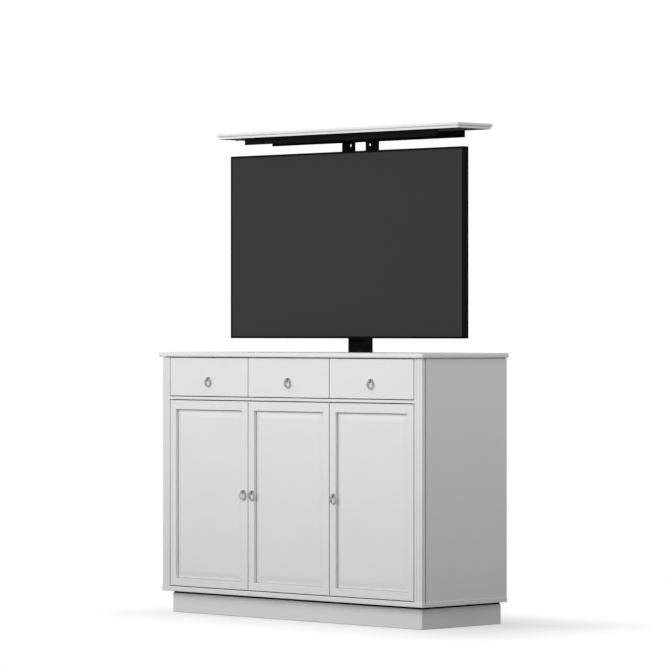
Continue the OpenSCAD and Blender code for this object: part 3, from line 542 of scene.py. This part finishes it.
low, high = np.array(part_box("lower_spindle"))
axis_point = np.array([*(low + high)[:Z] / 2, 0])
belt_low, belt_high = np.array(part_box("drive_belt"))
rim_low = belt_low[Z] - rim_width - belt_clearance
rim_high = belt_high[Z] + rim_width + belt_clearance
rim = pulley_face + pulley_rim
stations = [(pulley_face / 2, rim_low), (rim, rim_low), (rim, rim_low + rim_width),
            (pulley_face, rim_low + rim_width), (pulley_face, rim_high - rim_width),
            (rim, rim_high - rim_width), (rim, rim_high), (pulley_face / 2, rim_high)]
profile, arc = fillet(stations, [0, *[pulley_round] * (len(stations) - 2), 0], steps=3)
pulley = turned(profile, arc, axis_point, Z)
screw = threaded(axis_point, low[Z], high[Z], spindle_radius)
piece("lower_screw", [screw, pulley], zinc_steel, ["lower_spindle"])
low, high = np.array(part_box("upper_spindle"))
screw = threaded(axis_point, low[Z], high[Z], (high[X] - low[X]) / 2, upper_bore)
piece("upper_screw", screw, zinc_steel, ["upper_spindle"])
dress(zinc_steel, "motor_pulley")

# Motor and control box: the motor stands on the housing, its steel can under a moulded cover with
# cooling grooves. The control box is screwed to the back panel. Both covers are black ABS, whose
# dry, pebbled skin comes from the etched mould. Its pebbles, about 0.3 mm, are drawn at 1.2 mm.
motor_groove = 1.5 * mm
groove_pitch = 8 * mm
groove_round = 0.3 * mm
motor_bell = 7 * mm
bell_round = 2 * mm
bell_foot = 1 * mm
black_abs, tree, place = blank("textured_black_abs")
pebbles = add(tree, "ShaderNodeTexVoronoi", {"Vector": place, "Scale": 1 / (1.2 * mm)})
relief = add(tree, "ShaderNodeBump", {
    "Height": pebbles.outputs[0], "Strength": 0.3, "Distance": 0.08 * mm})
rough = add(tree, "ShaderNodeMapRange", {
    "Value": pebbles.outputs[0], "To Min": 0.5, "To Max": 0.66})
shader = add(tree, "ShaderNodeBsdfPrincipled", {
    "Base Color": linear("#080808"), "Roughness": rough.outputs[0], "Normal": relief.outputs[0],
    "IOR": 1.54, "Specular IOR Level": 0.04})
add(tree, "ShaderNodeOutputMaterial", {"Surface": shader.outputs[0]})

low, high = np.array(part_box("motor"))
motor_radius = (high[X] - low[X]) / 2
motor_foot = np.array([*(low + high)[:Z] / 2, 0])
shoulder = high[Z] - motor_bell
grooves = np.arange(low[Z] + 3 * groove_pitch, shoulder - 2 * groove_pitch, groove_pitch)
groove_section = ((0, -1), (1, -0.6), (1, 0.6), (0, 1))
wave = [(motor_radius - deep * motor_groove, z + side * groove_pitch / 4)
        for z in grooves for deep, side in groove_section]
stations = [(motor_radius, low[Z]), *wave, (motor_radius, shoulder),
            (motor_radius - motor_bell, shoulder), (motor_radius - motor_bell, high[Z]),
            (motor_radius / 3, high[Z])]
softened = [0, *[groove_round] * len(wave), bell_round, bell_foot, bell_round, 0]
profile, arc = fillet(stations, softened, steps=4)
piece("motor_can", turned(profile, arc, motor_foot, Z), black_abs, ["motor"])
dress(black_abs, "control_box")

# Drive belt and lid pads: black rubber, the belt moulded round its cords and the pads punched from
# sheet. Both are dull, with a little grey bloom in patches of about 6 mm.
rubber, tree, place = blank("black_rubber")
bloom = add(tree, "ShaderNodeTexNoise", {"Vector": place, "Scale": 1 / (6 * mm), "Detail": 4.0})
tone = add(tree, "ShaderNodeMix", {
    0: bloom.outputs[0], 6: linear("#19191A"), 7: linear("#262627")}, data_type="RGBA")
shader = add(tree, "ShaderNodeBsdfPrincipled", {
    "Base Color": tone.outputs[2], "Roughness": 0.8, "Specular IOR Level": 0.2})
add(tree, "ShaderNodeOutputMaterial", {"Surface": shader.outputs[0]})
dress(rubber, "drive_belt", "lid_pads")

# Top board: a lacquered board with soft edges at the front and the ends and a square one at the
# back, laid on the sides. Its long slot leaves the room beside the television, in front of it and
# behind the column that the carriage needs to pass.
slot_side = 5 * mm
slot_front = 32 * mm
slot_back = 5 * mm
slot_edge = 1.5 * mm
slot_corner = 4 * mm
top_corner = 3 * mm
upper_nose = 4 * mm
lower_nose = 4 * mm
low, high = np.array(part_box("top_board"))
ends = [(face_border, low[Z]), (0, low[Z]), (0, high[Z]), (face_border, high[Z])]
nose, nose_arc = fillet(ends, [0, lower_nose, upper_nose, 0])
tv_low, tv_high = np.array(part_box("tv_frame"))
slot_low = np.array([tv_low[X] - slot_side, tv_low[Y] - slot_front])
slot_high = np.array([tv_high[X] + slot_side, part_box("outer_column")[1][Y] + slot_back])
ends = [(0, high[Z]), (slot_edge, high[Z]), (slot_edge, low[Z]), (0, low[Z])]
walls, wall_arc = fillet(ends, [0, slot_edge, slot_edge, 0])
walls, wall_arc = walls[1:-1], wall_arc[1:-1]
grow = slot_edge - walls[:, :1]
square_back = [1, 0]
rings, across = rectangles(
    np.concatenate([low[:Z] + nose[:, :1], slot_low - grow]),
    np.concatenate([high[:Z] - nose[:, :1] * square_back, slot_high + grow]),
    np.repeat([top_corner, slot_corner], [len(nose), len(walls)]))
rings = set_up(rings, np.concatenate([nose[:, 1], walls[:, 1]]), Z)
board = skin(rings, np.concatenate([nose_arc, wall_arc]), across, closed=True)
piece("slotted_top", board, white_lacquer, ["top_board"])

# Carriage: a hanger plate bent over the inner tube, two channels for the television, and two bent
# uprights with the carrier on top, all of powder coated steel sheet. The carrier is a plate with a
# bar under each edge, and a thin black sheet on it covers the lid's underside as painted shade, so
# that the underside shows dark.
carrier_sheet = 2 * mm
bar_round = 0.9 * mm
shade_sheet = 0.8 * mm
shade_sheet_in = 8 * mm
low, high = np.array(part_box("lid_carrier"))
web = high[Z] - carrier_sheet
bars = []
for start in (low[Y], high[Y] - carrier_sheet):
    bar_low = np.array([low[X], start, low[Z]])
    bar_high = np.array([high[X], start + carrier_sheet, web])
    bars.append(rounded_board(bar_low, bar_high, Y, [bar_round, bar_round], bar_round))
plate_low = np.array([*low[:Z], web])
plate = rounded_board(plate_low, high, Z, [bar_round, bar_round], 2 * bar_round)
lid_low, lid_high = np.array(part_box("lid"))
# Painted shade: a thin black sheet under the lid, set in from its edges, darkens the underside.
shade_sheet_low = lid_low + [shade_sheet_in, shade_sheet_in, -shade_sheet]
shade_sheet_high = np.array([*lid_high[:Z] - shade_sheet_in, lid_low[Z]])
cover = rounded_board(shade_sheet_low, shade_sheet_high, Z, [shade_sheet / 4, shade_sheet / 4], 2 * bar_round)
piece("carrier_channel", [plate, *bars, cover], black_coat, ["lid_carrier"])
dress(black_coat, "tv_hanger", "tv_rails", "lid_uprights", "carriage_screws")

# Lid: two lacquered boards glued face to face. The upper one has soft edges that stand proud of the
# lower one, so that a fine shadow runs round between them. It is screwed to the carrier from below.
lid_lip = 5 * mm
lid_lower = 8.5 * mm
lid_lower_round = 0.6 * mm
lid_nose = 3 * mm
lid_corner = 3 * mm
low, high = np.array(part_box("lid"))
ledge = low[Z] + lid_lower
section = [(face_border, low[Z]), (lid_lip, low[Z]), (lid_lip, ledge), (0, ledge), (0, high[Z]),
           (face_border, high[Z])]
profile, arc = fillet(section, [0, lid_lower_round, 0, lid_nose, lid_nose, 0])
boards = carried_round(low, high, profile, arc, Z, lid_corner)
piece("lid_boards", boards, white_lacquer, ["lid"])

# Television: a slim flat set. Its screen is a glass panel under an anti-glare film, held by the lip
# of a narrow frame. The frame is moulded from black ABS, and so is the back cover, which has a
# shallow hump over the electronics.
bezel = 5 * mm
bezel_lip = 2 * mm
lip_height = 0.6 * mm
lip_round = 0.3 * mm
frame_round = 0.5 * mm
screen_edge = 0.3 * mm
screen_corner = 1 * mm
set_corner = 2.5 * mm
case_wall = 3 * mm
case_round = 1.5 * mm
hump_width = 727 * mm
hump_tall = 417 * mm
hump_lift = 24.5 * mm
hump_height = 11 * mm
hump_run = 1.5 * hump_height
hump_flat = 5 * hump_height
hump_corner = 24 * mm

# The film spreads what it mirrors into an even glow, so the dark panel looks grey. Its haze is far
# finer than a pixel of the set, and is drawn at 2 mm.
screen_film, tree, place = blank("matt_screen_film")
haze = add(tree, "ShaderNodeTexNoise", {"Vector": place, "Scale": 1 / (2 * mm), "Detail": 1.0})
rough = add(tree, "ShaderNodeMapRange", {
    "Value": haze.outputs[0], "To Min": 0.52, "To Max": 0.6})
relief = add(tree, "ShaderNodeBump", {
    "Height": haze.outputs[0], "Strength": 0.1, "Distance": 0.02 * mm})
shader = add(tree, "ShaderNodeBsdfPrincipled", {
    "Base Color": linear("#323232"), "Roughness": rough.outputs[0], "Normal": relief.outputs[0],
    "Specular IOR Level": 0.1})
add(tree, "ShaderNodeOutputMaterial", {"Surface": shader.outputs[0]})
low, high = np.array(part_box("tv_screen"))
panel = rounded_board(low, high, Y, [screen_edge, screen_edge], screen_corner)
piece("screen_panel", panel, screen_film, ["tv_screen"])

low, high = np.array(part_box("tv_frame"))
lip_in, lip_back = bezel + bezel_lip, low[Y] + lip_height
section = [(0, high[Y]), (0, low[Y]), (lip_in, low[Y]), (lip_in, lip_back), (bezel, lip_back),
           (bezel, high[Y])]
profile, arc = fillet(section, [0, frame_round, lip_round, 0, 0, 0])
bars = carried_round(low, high, profile, arc, Y, set_corner, closed=True)
piece("screen_frame", bars, black_abs, ["tv_frame"])

low, high = np.array(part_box("tv_back_cover"))
back = high[Y] - hump_height
stations = [(case_wall, back - case_wall), (case_wall, low[Y]), (0, low[Y]), (0, back),
            (2 * case_round, back)]
shell, shell_arc = fillet(stations, [0, 0, 0, case_round, 0])
stations = [(-hump_run, back), (0, high[Y]), (hump_flat, high[Y])]
hump, hump_arc = fillet(stations, [0, hump_height / 2, 0])
hump_low = np.array([-hump_width / 2, low[Z] + hump_lift])
hump_high = np.array([hump_width / 2, low[Z] + hump_lift + hump_tall])
rings, across = rectangles(
    np.concatenate([low[[X, Z]] + shell[:, :1], hump_low + hump[:, :1]]),
    np.concatenate([high[[X, Z]] - shell[:, :1], hump_high - hump[:, :1]]),
    np.repeat([set_corner, hump_corner], [len(shell), len(hump)]))
rings = set_up(rings, np.concatenate([shell[:, 1], hump[:, 1]]), Y)
cover = skin(rings, np.concatenate([shell_arc, hump_arc]), across)
piece("moulded_back", cover, black_abs, ["tv_back_cover"])

# Drawers: a plain lacquered front, its edges just broken, screwed to an open box of birch plywood
# whose sides are grooved for the runners.
# Sanded birch is pale and silky, with a figure about 7 mm wide that runs long along the board.
front_edge = 0.4 * mm
figure_stretch = (0.08, 1.0, 1.0)
birch_ply, tree, place = blank("birch_plywood")
along = add(tree, "ShaderNodeMapping", {"Vector": place, "Scale": figure_stretch})
figure = add(tree, "ShaderNodeTexNoise", {
    "Vector": along.outputs[0], "Scale": 1 / (7 * mm), "Detail": 5.0, "Distortion": 0.4})
tone = add(tree, "ShaderNodeMix", {
    0: figure.outputs[0], 6: linear("#C9B28E"), 7: linear("#DCC8A6")}, data_type="RGBA")
relief = add(tree, "ShaderNodeBump", {
    "Height": figure.outputs[0], "Strength": 0.3, "Distance": 0.1 * mm})
shader = add(tree, "ShaderNodeBsdfPrincipled", {
    "Base Color": tone.outputs[2], "Roughness": 0.6, "Normal": relief.outputs[0],
    "Specular IOR Level": 0.3})
add(tree, "ShaderNodeOutputMaterial", {"Surface": shader.outputs[0]})
bays = ("left", "middle", "right")
for bay in bays:
    low, high = np.array(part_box(bay + "_drawer_front"))
    panel = rounded_board(low, high, Y, [front_edge, broken_edge], front_edge)
    piece(bay + "_drawer_panel", panel, white_lacquer, [bay + "_drawer_front"])
    dress(birch_ply, bay + "_drawer_box")

# Doors: lacquered frame and panel doors on pivots. The stiles and rails have square inner edges,
# and the panel is let in deep behind them. Its border falls away gently all round, so that the
# field stands higher.
stile_width = 28 * mm
upper_rail = 31 * mm
lower_rail = 25.5 * mm
recess = 12 * mm
recess_slope = 0.3 * mm
border_width = 20 * mm
border_fall = 6 * mm
field_round = 70 * mm
field = recess - border_fall
stations = [(-face_border / 2, 0), (0, 0), (recess_slope, recess), (border_width, field),
            (2 * border_width, field)]
reveal, reveal_arc = fillet(stations, [0, front_edge, front_edge, field_round, 0])
for bay in bays:
    low, high = np.array(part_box(bay + "_door"))
    ends = [(face_border, high[Y]), (0, high[Y]), (0, low[Y]), (face_border, low[Y])]
    edge, edge_arc = fillet(ends, [0, broken_edge, front_edge, 0])
    rim = np.repeat(edge[:, :1], 2, axis=1)
    from_low = np.concatenate([rim, [stile_width, lower_rail] + reveal[:, :1]])
    from_high = np.concatenate([rim, [stile_width, upper_rail] + reveal[:, :1]])
    radius = np.maximum(front_edge - from_high[:, 0], least_corner)
    rings, across = rectangles(low[[X, Z]] + from_low, high[[X, Z]] - from_high, radius)
    rings = set_up(rings, np.concatenate([edge[:, 1], low[Y] + reveal[:, 1]]), Y)
    leaf = skin(rings, np.concatenate([edge_arc, reveal_arc]), across)
    piece(bay + "_framed_door", leaf, white_lacquer, [bay + "_door"])

# Ring pulls: cast zinc rings, satin nickel plated, that hang from a knuckle on a small round plate.
# The plate is screwed on from behind, and the ring swings up in the knuckle.
# Satin nickel mirrors the room softly. Its brushing is about 0.3 mm fine, and is drawn at 1.5 mm.
knuckle_width = 6 * mm
knuckle_bore = 4.6 * mm
knuckle_wall = 1.2 * mm
knuckle_round = 0.8 * mm
plate_radius = 7 * mm
plate_height = 2.5 * mm
plate_edge_round = 1 * mm
dome_radius = 0.7 * plate_radius
dome_round = 1.5 * mm
pivot_rise = 13 * mm
ring_radius = 12.4 * mm
ring_wire = 2.4 * mm
ring_set_in = 1.5 * mm
wire_steps = 24
ring_steps = 96
satin_nickel, tree, place = blank("satin_nickel_plate")
brush = add(tree, "ShaderNodeTexNoise", {"Vector": place, "Scale": 1 / (1.5 * mm), "Detail": 3.0})
rough = add(tree, "ShaderNodeMapRange", {
    "Value": brush.outputs[0], "To Min": 0.16, "To Max": 0.24})
tone = add(tree, "ShaderNodeMix", {
    0: brush.outputs[0], 6: linear("#A8A7A5"), 7: linear("#B4B3B1")}, data_type="RGBA")
shader = add(tree, "ShaderNodeBsdfPrincipled", {
    "Base Color": tone.outputs[2], "Metallic": 1.0, "Roughness": rough.outputs[0]})
add(tree, "ShaderNodeOutputMaterial", {"Surface": shader.outputs[0]})

t = np.linspace(0, 2 * np.pi, wire_steps, endpoint=False)
wire = np.stack([ring_radius + ring_wire * np.cos(t), ring_wire * np.sin(t)], -1)
stations = [(plate_radius, 0), (plate_radius, -plate_height / 2), (dome_radius, -plate_height),
            (plate_radius / 4, -plate_height)]
dome, dome_arc = fillet(stations, [0, plate_edge_round, dome_round, 0])
half, outer = knuckle_width / 2, knuckle_bore + knuckle_wall
section = [(knuckle_bore, -half), (outer, -half), (outer, half), (knuckle_bore, half)]
barrel, barrel_arc = fillet(section, knuckle_round)
for bay in bays:
    for kind in ("drawer", "door"):
        name = f"{bay}_{kind}"
        middle = np.mean(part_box(name + "_ring"), axis=0)
        hoop = turned(wire, np.full(wire_steps, True), middle + [0, ring_set_in, 0], Y, ring_steps,
                      closed=True)
        piece(name + "_hoop", hoop, satin_nickel, [name + "_ring"])
        eye = middle + [0, 0, pivot_rise]
        seat = np.array([eye[X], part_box(name + "_eye")[1][Y], eye[Z]])
        plate = turned(dome, dome_arc, seat, Y)
        knuckle = turned(barrel, barrel_arc, eye, X, closed=True)
        piece(name + "_knuckle", [plate, knuckle], satin_nickel, [name + "_eye"])

# Studio: a pale floor that keeps the object's shadow, most of it to the right, and fades to white
# further off. To light that bounces it is painted dark near the object, as painted shade, and far
# off it glows as painted bounce light, as a floor under a softly lit object looks. Distances are in
# metres from the cabinet's foot.
floor_half = 30.0
shadow_shift = [0.15, 0.03, 0]
shadow_reach = 0.38
least_fade = 0.45
bounce_start = 0.6
bounce_end = 2.0
bounce_strength = 0.4
floor_mesh = bpy.data.meshes.new("studio_floor")
corners = floor_half * np.array([(-1, -1, 0), (1, -1, 0), (1, 1, 0), (-1, 1, 0)])
floor_mesh.from_pydata(corners.tolist(), [], [[0, 1, 2, 3]])
floor = bpy.data.objects.new("studio_floor", floor_mesh)
bpy.context.scene.collection.objects.link(floor)
floor_paint, tree, place = blank("studio_floor_paint")
foot_low, foot_high = np.array(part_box("bottom_board")) + shadow_shift
from_foot = add(tree, "ShaderNodeVectorMath", {
    0: place, 1: ((foot_low + foot_high) / 2).tolist()}, operation="SUBTRACT")
from_foot = add(tree, "ShaderNodeVectorMath", {0: from_foot.outputs[0]}, operation="ABSOLUTE")
beyond = add(tree, "ShaderNodeVectorMath", {
    0: from_foot.outputs[0], 1: ((foot_high - foot_low) / 2).tolist()}, operation="SUBTRACT")
beyond = add(tree, "ShaderNodeVectorMath", {
    0: beyond.outputs[0], 1: (0, 0, 0)}, operation="MAXIMUM")
flat = add(tree, "ShaderNodeVectorMath", {
    0: beyond.outputs[0], 1: (1, 1, 0)}, operation="MULTIPLY")
distance = add(tree, "ShaderNodeVectorMath", {0: flat.outputs[0]}, operation="LENGTH")
distance = distance.outputs["Value"]
fade = add(tree, "ShaderNodeMapRange", {
    "Value": distance, "From Max": shadow_reach, "To Min": least_fade})
near = add(tree, "ShaderNodeBsdfDiffuse", {"Color": linear("#F0F0F0")})
far = add(tree, "ShaderNodeEmission", {"Color": linear("#FFFFFF"), "Strength": 1.0})
seen = add(tree, "ShaderNodeMixShader", {
    0: fade.outputs[0], 1: near.outputs[0], 2: far.outputs[0]})
bounce = add(tree, "ShaderNodeMapRange", {
    "Value": distance, "From Min": bounce_start, "From Max": bounce_end})
# Painted shade near the object and painted bounce light far off, seen only by bounced rays.
painted_floor_shade = add(tree, "ShaderNodeBsdfDiffuse", {"Color": linear("#0C0C0C")})
painted_floor_glow = add(tree, "ShaderNodeEmission", {"Color": linear("#FFFFFF"), "Strength": bounce_strength})
unseen = add(tree, "ShaderNodeMixShader", {
    0: bounce.outputs[0], 1: painted_floor_shade.outputs[0], 2: painted_floor_glow.outputs[0]})
ray = add(tree, "ShaderNodeLightPath", {})
looked_at = ray.outputs["Is Camera Ray"]
for way in ("Is Glossy Ray", "Is Transmission Ray"):
    looked_at = add(tree, "ShaderNodeMath", {
        0: looked_at, 1: ray.outputs[way]}, operation="MAXIMUM").outputs[0]
shown = add(tree, "ShaderNodeMixShader", {
    0: looked_at, 1: unseen.outputs[0], 2: seen.outputs[0]})
add(tree, "ShaderNodeOutputMaterial", {"Surface": shown.outputs[0]})
floor_mesh.materials.append(floor_paint)

# Light: pale walls all round under a dimmer ceiling, and one large soft lamp in front for the
# drawers and doors, so that the right side stays in soft shade. Together they show colours about as
# they are written.
wall_light = 1.05
ceiling_light = 0.35
lamp_place = (-0.1, -3.6, 2.2)
lamp_target = (0, 0, 0.6)
world = bpy.data.worlds.new("white_studio")
world.use_nodes = True
tree = world.node_tree
tree.nodes.clear()
ray = add(tree, "ShaderNodeLightPath", {})
looked_at = ray.outputs["Is Camera Ray"]
for way in ("Is Glossy Ray", "Is Transmission Ray"):
    looked_at = add(tree, "ShaderNodeMath", {
        0: looked_at, 1: ray.outputs[way]}, operation="MAXIMUM").outputs[0]
toward = add(tree, "ShaderNodeTexCoord", {}).outputs["Generated"]
rise = add(tree, "ShaderNodeSeparateXYZ", {0: toward}).outputs["Z"]
dim = add(tree, "ShaderNodeMapRange", {
    "Value": rise, "To Min": wall_light, "To Max": ceiling_light})
level = add(tree, "ShaderNodeMapRange", {
    "Value": looked_at, "To Min": dim.outputs[0], "To Max": 1.0})
sky = add(tree, "ShaderNodeBackground", {
    "Color": linear("#FFFFFF"), "Strength": level.outputs[0]})
add(tree, "ShaderNodeOutputWorld", {"Surface": sky.outputs[0]})
bpy.context.scene.world = world
lamp = bpy.data.lights.new("front_lamp", "AREA")
lamp.size = 3.0
lamp.energy = 80
stand = bpy.data.objects.new("front_lamp", lamp)
stand.visible_glossy = False
stand.location = lamp_place
aim = np.array(lamp_target) - stand.location
tilt = math.acos(-aim[Z] / np.linalg.norm(aim))
stand.rotation_euler = (tilt, 0, math.atan2(-aim[X], aim[Y]))
bpy.context.scene.collection.objects.link(stand)

# Camera: a long lens held level a little above the cabinet's top, looking at the front right corner
# at 45 degrees. The view shows colours as the materials give them.
lens = bpy.data.cameras.new("long_lens")
lens.sensor_width = 36
lens.lens = 213.16
lens.clip_end = 100
camera = bpy.data.objects.new("long_lens", lens)
camera.location = (9.4482, -9.4335, 0.9677)
camera.rotation_euler = (math.radians(90), 0, math.radians(45))
bpy.context.scene.collection.objects.link(camera)
bpy.context.scene.camera = camera
bpy.context.scene.view_settings.view_transform = "Standard"
